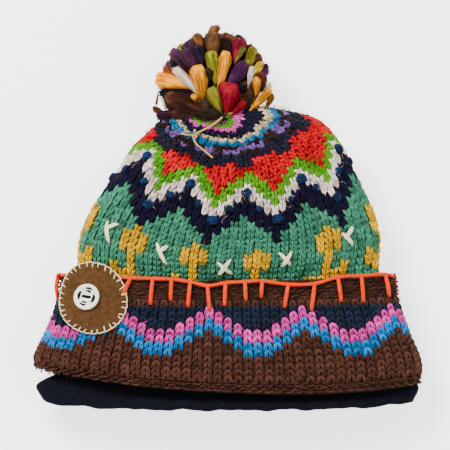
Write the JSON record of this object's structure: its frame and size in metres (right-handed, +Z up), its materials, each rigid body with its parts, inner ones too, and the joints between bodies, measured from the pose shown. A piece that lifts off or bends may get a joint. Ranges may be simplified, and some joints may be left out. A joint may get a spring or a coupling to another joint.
{
  "type": "bobble hat",
  "caption": "Knitted winter hat with a turned-up patterned cuff, fleece lining band, striped crown, pompom, and a round felt patch with a button.",
  "frame": {"origin": "middle of the lying hat's box, on the table that it lies on", "axes": "+Z up out of the front of the hat, +Y from the hem towards the pompom, +X to the right when looking down on the front"},
  "size_m": [0.291, 0.2984, 0.058],
  "materials": {
    "crown_wool": "matte",
    "cuff_wool": "matte",
    "fleece": "matte",
    "pompom_wool": "matte",
    "felt": "matte",
    "button_resin": "satin",
    "twine": "matte"
  },
  "bodies": {
    "root": {"crown_side": "crown_wool", "crown_taper": "crown_wool", "crown_top": "crown_wool", "cuff": "cuff_wool", "lining": "fleece", "pompom": "pompom_wool", "felt_patch": "felt", "button": "button_resin", "root_twine": "twine"}
  },
  "joints": []
}
